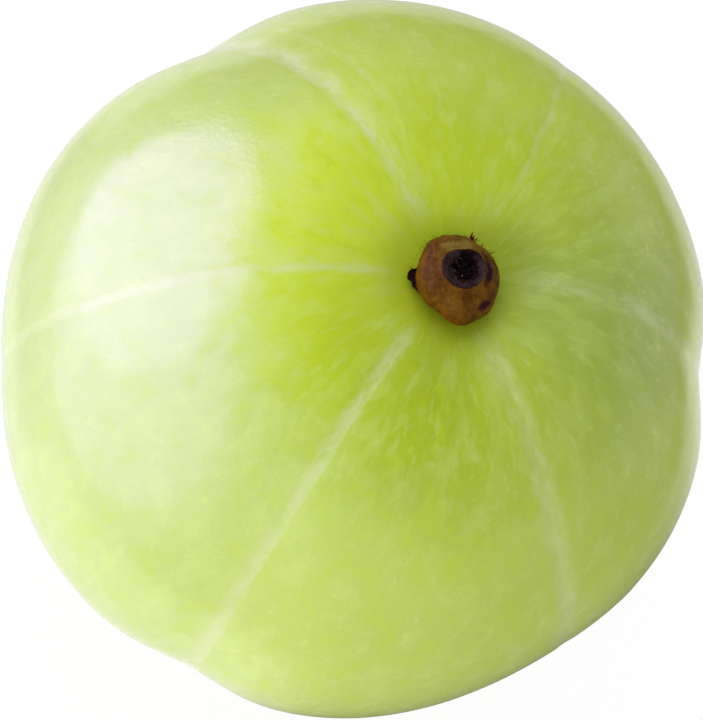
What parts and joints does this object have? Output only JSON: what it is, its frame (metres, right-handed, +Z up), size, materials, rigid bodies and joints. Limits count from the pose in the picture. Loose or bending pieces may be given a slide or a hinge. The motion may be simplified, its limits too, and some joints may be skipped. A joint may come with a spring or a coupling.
{
  "type": "indian gooseberry",
  "caption": "Whole Indian gooseberry fruit, a squat lobed ball with creased septa, a shallow stalk basin and a short woody stalk stub with dried calyx tips.",
  "frame": {"origin": "middle of the small flat spot at the blossom end that the fruit rests on", "axes": "+Z up the fruit's core to the stalk end; -Y is the side that the fruit is seen over, with its stalk end tilted away; +X to the right of that"},
  "size_m": [0.0379, 0.0381, 0.0318],
  "materials": {
    "fruit_skin": "smooth waxy skin, light yellow-green with paler septum lines",
    "stalk_bark": "smooth brown bark with a torn, nearly black scar",
    "dried_calyx": "dry, dull and dark brown to black"
  },
  "bodies": {
    "root": {"fruit": "fruit_skin", "stalk_stub": "stalk_bark", "calyx_tip_1": "dried_calyx", "calyx_tip_2": "dried_calyx", "calyx_tip_3": "dried_calyx", "calyx_tip_4": "dried_calyx"}
  },
  "joints": []
}
